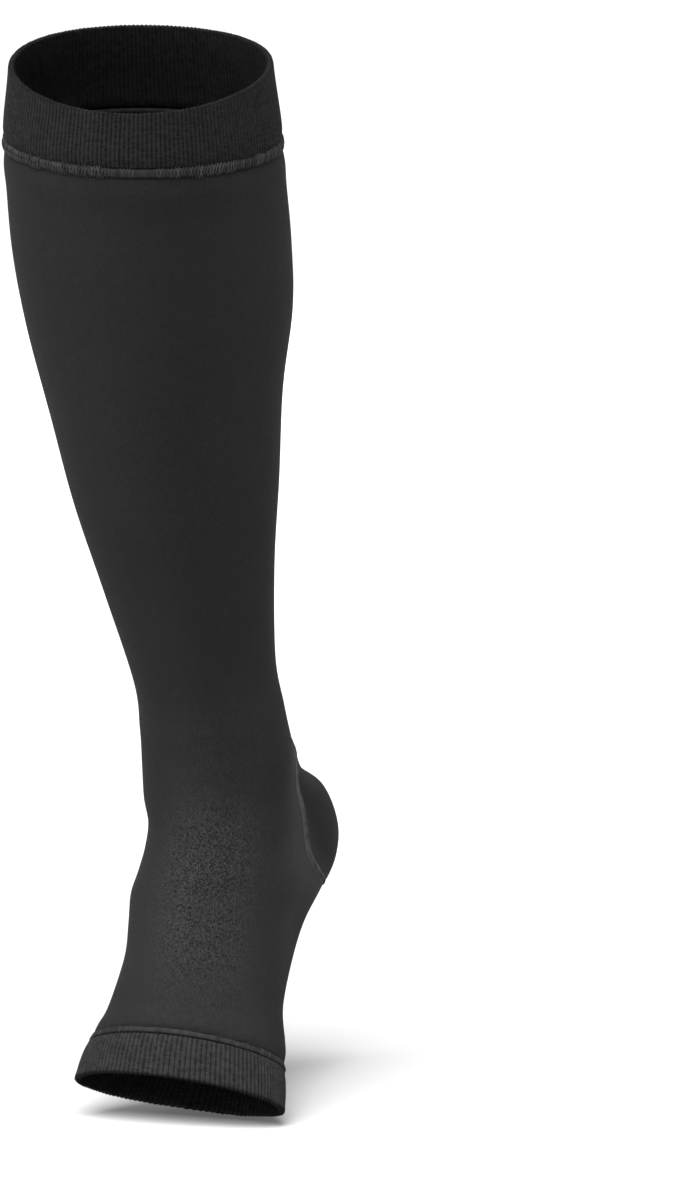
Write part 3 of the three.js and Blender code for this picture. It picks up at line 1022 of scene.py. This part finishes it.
def band_profile(open_end):
    """Loops of a band's wall: rounded over at the open end, plain at the sewn one.

    Each is (share, further, lift, how much the ribs show, its painted shade).
    """
    bend = BAND_WALL / 2
    outside = [(s, bend * (1 - 2 * s), 0.0, 1.0, 1.0) for s in np.linspace(0, 1, BAND_ROWS)]
    inside = [(s, bend * (1 - 2 * s), -BAND_WALL, SHOWN_INSIDE, PAINTED_SHADE_INSIDE)
              for s in np.linspace(1, 0, BAND_INNER_ROWS)]
    turns = np.linspace(math.pi / 2, -math.pi / 2, 9)[1:-1]

    def edge(share, onward, shown, arc):
        return [(share, onward * bend * (math.cos(t) - 1), bend * (math.sin(t) - 1),
                 shown, PAINTED_SHADE_EDGE) for t in arc]

    at_end = edge(1, 1, 1.0 if open_end == "end" else SHOWN_SEWN, turns)
    at_start = edge(0, -1, 1.0 if open_end == "start" else SHOWN_SEWN, turns[::-1])
    return np.array(outside + at_end + inside + at_start)


def top_belly(share, angle):
    """How the top band bulges over its height, with a slightly wavy upper edge."""
    return (0.55 * smooth(share, 0.1, 0.8) - 0.5 * smooth(share, 0.85, 1.0)
            + 0.18 * ripple(angle, 5, 2.0) * (1 - share))


def toe_belly(share, angle):
    """The same on the toe band, with a wavier lower edge."""
    return (0.45 * smooth(share, 0.0, 0.3) * (1 - smooth(share, 0.5, 1.0))
            + 0.3 * ripple(angle, 7, 0.9) * share)


def ribbed_band(name, node, start, end, ribs, rise, open_end, belly, row_height, light):
    columns = ribs * COLUMNS_PER_RIB
    angles = even_angles(columns)
    profile = band_profile(open_end)
    lift = belly(profile[:, 0][:, None], angles[None, :])
    points = tube_wall(start, end, profile[:, :3], angles, lift)
    mesh = woven_mesh(name, points, ribs, (1, row_height), {
        "round": np.arange(columns)[None, :] / columns,
        "show": profile[:, 3][:, None],
        # Painted shade inside the band and on its rounded edges, times the band's painted light
        "shade": light * profile[:, 4][:, None],
    })
    piece = grown(name, mesh, rib_tree(), {
        "Ribs": ribs, "Rise": rise, "Roundness": RIB_ROUNDNESS,
        "Unevenness": RIB_UNEVENNESS, "Seed": 5, "Material": rib_finish()})
    finish_piece(piece, rib_finish(), "rib", node)


class STOCKING_OT_ribbed_bands(bpy.types.Operator):
    """Knit the ribbed bands at the top edge and at the toe edge"""

    bl_idname = "stocking.ribbed_bands"
    bl_label = "Knit the Bands"

    def execute(self, context):
        sizes = context.scene.stocking_sizes
        # Painted light and shade: the toe band is painted lighter as if lit from above, the top
        # band darker
        ribbed_band("top_band_ribs", "top_band", TOP_EDGE, UNDER_TOP_BAND,
                    sizes.top_ribs, sizes.top_rib_rise, open_end="start", belly=top_belly,
                    row_height=0.85, light=0.94)
        ribbed_band("toe_band_ribs", "toe_band", ABOVE_TOE_BAND, TOE_EDGE,
                    sizes.toe_ribs, sizes.toe_rib_rise, open_end="end", belly=toe_belly,
                    row_height=1.0, light=1.18)
        return {"FINISHED"}


# the seams

# The middle of each roll of cloth, in millimetres beyond the edge of its band
TOP_SEAM_MIDDLE, TOE_SEAM_MIDDLE = 1.9, -1.35


def seam_roll(name, node, course, middle, half, rise, waviness, phase, columns):
    """The raised roll of cloth under a row of stitches. It gives the roll's lumps."""
    angles = even_angles(columns)
    section = [(-half * math.cos(t), rise * math.sin(t)) for t in np.linspace(0, math.pi, 11)]
    section += [(half * 0.9, -1.2), (half * 0.6, -BAND_WALL), (-half * 0.6, -BAND_WALL),
                (-half * 0.9, -1.2)]
    profile = np.array([(0, middle + x, z) for x, z in section])
    lumps = waviness * (ripple(angles, 61, phase) + 0.8 * ripple(angles, 17, phase + 1))
    lift = lumps[None, :] * (profile[:, 2] > 0)[:, None]
    base = np.full((1, columns), course)
    points = tube_wall(base, base, profile, angles, lift)
    mesh = woven_mesh(name, points, columns, (1, 0.5),
                      {"tint": 0.45 + 0.35 * ripple(angles, 47, phase)})
    finish_piece(add_object(name, mesh), ridge_finish(), "stitching", node)
    return lumps


def seam_stitches(name, course, middle, lumps, phase, finish, values):
    """The stitches that cross a roll, neater in front than at its sides."""
    angles = even_angles(len(lumps))
    neat = hill(np.sin((angles - 0.15) / 2), 0, 0.16)
    loose = 1.0 + 0.1 * ripple(angles, 7, phase) - 0.25 * neat
    places = beyond(course, angles, middle + 0.25 * ripple(angles, 29, phase))
    line = line_mesh(name + "_line", cloth(places, angles, lumps - SUNK),
                     outwards(places, angles), loose)
    piece = grown(name, line, stitch_tree(), {**values, "Material": finish})
    finish_piece(piece, finish, "stitching")


class STOCKING_OT_seams(bpy.types.Operator):
    """Sew the bands to the knit with raised rows of stitches"""

    bl_idname = "stocking.seams"
    bl_label = "Sew the Seams"

    def execute(self, context):
        sizes = context.scene.stocking_sizes
        lumps = seam_roll("top_seam_roll", "top_seam", UNDER_TOP_BAND, TOP_SEAM_MIDDLE,
                          half=1.8, rise=0.6, waviness=0.14, phase=0.3, columns=480)
        seam_stitches("top_seam_stitches", UNDER_TOP_BAND, TOP_SEAM_MIDDLE, lumps, 4.0,
                      seam_finish(), {
                          "Spacing": sizes.stitch_spacing, "Height": 5.4 * MM,
                          "Lean": 1.8 * MM, "Arch": 1.2 * MM, "Thread": sizes.thread,
                          "Scatter": 0.25, "Seed": 11})
        lumps = seam_roll("toe_seam_roll", "toe_seam", ABOVE_TOE_BAND, TOE_SEAM_MIDDLE,
                          half=1.15, rise=0.45, waviness=0.12, phase=1.9, columns=360)
        seam_stitches("toe_seam_stitches", ABOVE_TOE_BAND, TOE_SEAM_MIDDLE, lumps, 1.0,
                      ridge_finish(), {
                          "Spacing": sizes.stitch_spacing * 0.8, "Height": 2.7 * MM,
                          "Lean": 1.2 * MM, "Arch": 0.65 * MM, "Thread": sizes.thread,
                          "Scatter": 0.25, "Seed": 37})
        return {"FINISHED"}


# the stage

# The camera looks down by so many degrees from so many millimetres away, and the middle of
# the top edge lies on this pixel of the photograph
CAMERA_ELEVATION, CAMERA_DISTANCE = 9.5, 5000.0
FOCAL_PIXELS = 11500.0
PHOTO_WIDTH, PHOTO_HEIGHT = 679, 1196
TOP_IN_PHOTO = (141, 66)
SENSOR = 36.0

# The key light: its degrees to the right of the camera and above it, strength and spread
KEY_SIDEWAYS, KEY_HEIGHT, KEY_STRENGTH, KEY_SPREAD = -23, 68, 8.0, 55

# The soft panels: place, width, height and watts
PANELS = {
    "left_side": ((-1.5, -0.2, 0.0), 0.8, 1.6, 14.5),
    "right_side": ((1.3, 0.7, 0.0), 0.6, 1.4, 4),
    "back": ((0.0, 2.4, 0.4), 0.8, 1.4, 16),
}
PANELS_AIM = (0.0, 0.0, -0.22)

# The soft-edged light on the foot: place, aim, cone in degrees and watts
FOOT_LIGHT_PLACE, FOOT_LIGHT_AIM = (-0.35, -1.5, 1.0), (0.01, -0.03, -0.38)
FOOT_LIGHT_CONE, FOOT_LIGHT_WATTS = 10, 30

WORLD_STRENGTH = 0.4

# The floor: millimetres below the toe edge, and the radii of its rings in metres
FLOOR_BELOW = 2.0
FLOOR_RINGS = (0.6, 2.0, 6.0, 18.0, 40.0)


def add_lamp(name, kind, place, target, **settings):
    lamp = bpy.data.lights.new(name, kind)
    for setting, value in settings.items():
        setattr(lamp, setting, value)
    light = add_object(name, lamp)
    light.location = place
    direction = Vector(target) - Vector(place)
    light.rotation_euler = direction.to_track_quat("-Z", "Y").to_euler()


def add_lights():
    sideways, height = KEY_SIDEWAYS * DEGREE, KEY_HEIGHT * DEGREE
    key_place = (2 * math.sin(sideways) * math.cos(height),
                 -2 * math.cos(sideways) * math.cos(height), 2 * math.sin(height))
    add_lamp("key", "SUN", key_place, (0, 0, 0), energy=KEY_STRENGTH, angle=KEY_SPREAD * DEGREE)
    for name, (place, width, panel_height, watts) in PANELS.items():
        add_lamp(name, "AREA", place, PANELS_AIM, shape="RECTANGLE", size=width,
                 size_y=panel_height, energy=watts)
    add_lamp("foot_light", "SPOT", FOOT_LIGHT_PLACE, FOOT_LIGHT_AIM, energy=FOOT_LIGHT_WATTS,
             spot_size=FOOT_LIGHT_CONE * DEGREE, spot_blend=1.0, shadow_soft_size=0.15)


def add_camera():
    """The camera of the photograph, which sees the whole frame without shift."""
    elevation = CAMERA_ELEVATION * DEGREE
    forward = Vector((0, math.cos(elevation), -math.sin(elevation)))
    upward = Vector((0, math.sin(elevation), math.cos(elevation)))
    rightward = Vector((1, 0, 0))
    top = Vector(surface(TOP_EDGE, even_angles(64)).mean(0))
    across = (TOP_IN_PHOTO[0] - PHOTO_WIDTH / 2) / FOCAL_PIXELS
    above = (PHOTO_HEIGHT / 2 - TOP_IN_PHOTO[1]) / FOCAL_PIXELS
    eye = top - CAMERA_DISTANCE * (forward + across * rightward + above * upward)
    lens = bpy.data.cameras.new("camera")
    lens.sensor_width = SENSOR
    lens.lens = SENSOR * FOCAL_PIXELS / PHOTO_HEIGHT
    lens.clip_start, lens.clip_end = 0.1, 200
    camera = add_object("camera", lens)
    turn = Matrix((rightward, upward, -forward)).transposed().to_4x4()
    camera.matrix_world = Matrix.Translation(eye * MM) @ turn
    bpy.context.scene.camera = camera


class STOCKING_OT_stage(bpy.types.Operator):
    """Set up the floor, the soft lights and the camera"""

    bl_idname = "stocking.stage"
    bl_label = "Set the Stage"

    def execute(self, context):
        add_object("floor", self.floor_mesh())
        world = bpy.data.worlds.new("studio")
        world.use_nodes = True
        background = world.node_tree.nodes["Background"]
        background.inputs["Color"].default_value = (1.0, 1.0, 1.0, 1)
        background.inputs["Strength"].default_value = WORLD_STRENGTH
        context.scene.world = world
        context.scene.view_settings.view_transform = "Standard"
        add_lights()
        add_camera()
        return {"FINISHED"}

    def floor_mesh(self):
        """A round floor just below the toe edge."""
        low = CAD_BOX[0].z - FLOOR_BELOW * MM
        turns = even_angles(96)
        vertices = [(0, 0, low)]
        for radius in FLOOR_RINGS:
            vertices += [(radius * math.cos(t), radius * math.sin(t), low) for t in turns]
        count = len(turns)
        faces = [(0, 1 + i, 1 + (i + 1) % count) for i in range(count)]
        for ring in range(len(FLOOR_RINGS) - 1):
            inner, outer = 1 + ring * count, 1 + (ring + 1) * count
            faces += [(inner + i, outer + i, outer + (i + 1) % count, inner + (i + 1) % count)
                      for i in range(count)]
        mesh = bpy.data.meshes.new("floor")
        mesh.from_pydata(vertices, [], faces)
        mesh.materials.append(floor_finish(chosen_colour("floor")))
        return mesh


# the panel


class STOCKING_PT_panel(bpy.types.Panel):
    """Lists the stocking's settings and the steps that make it"""

    bl_idname = "STOCKING_PT_panel"
    bl_label = "Compression Stocking"
    bl_space_type = "VIEW_3D"
    bl_region_type = "UI"
    bl_category = "Stocking"

    def draw(self, context):
        layout = self.layout
        for settings in (context.scene.stocking_sizes, context.scene.stocking_colours):
            column = layout.column(align=True)
            for name in settings.__annotations__:
                column.prop(settings, name)
        for operator in OPERATORS:
            layout.operator(operator.bl_idname)


OPERATORS = (
    STOCKING_OT_knit_tube,
    STOCKING_OT_heel_pocket,
    STOCKING_OT_heel_gore,
    STOCKING_OT_ribbed_bands,
    STOCKING_OT_seams,
    STOCKING_OT_stage,
)
CLASSES = (StockingSizes, StockingColours, *OPERATORS, STOCKING_PT_panel)


def register():
    for kind in CLASSES:
        bpy.utils.register_class(kind)
    bpy.types.Scene.stocking_sizes = bpy.props.PointerProperty(type=StockingSizes)
    bpy.types.Scene.stocking_colours = bpy.props.PointerProperty(type=StockingColours)


def unregister():
    del bpy.types.Scene.stocking_colours
    del bpy.types.Scene.stocking_sizes
    for kind in reversed(CLASSES):
        bpy.utils.unregister_class(kind)


def main():
    register()
    bpy.ops.stocking.knit_tube()
    bpy.ops.stocking.heel_pocket()
    bpy.ops.stocking.heel_gore()
    bpy.ops.stocking.ribbed_bands()
    bpy.ops.stocking.seams()
    bpy.ops.stocking.stage()


if __name__ == "__main__":
    main()
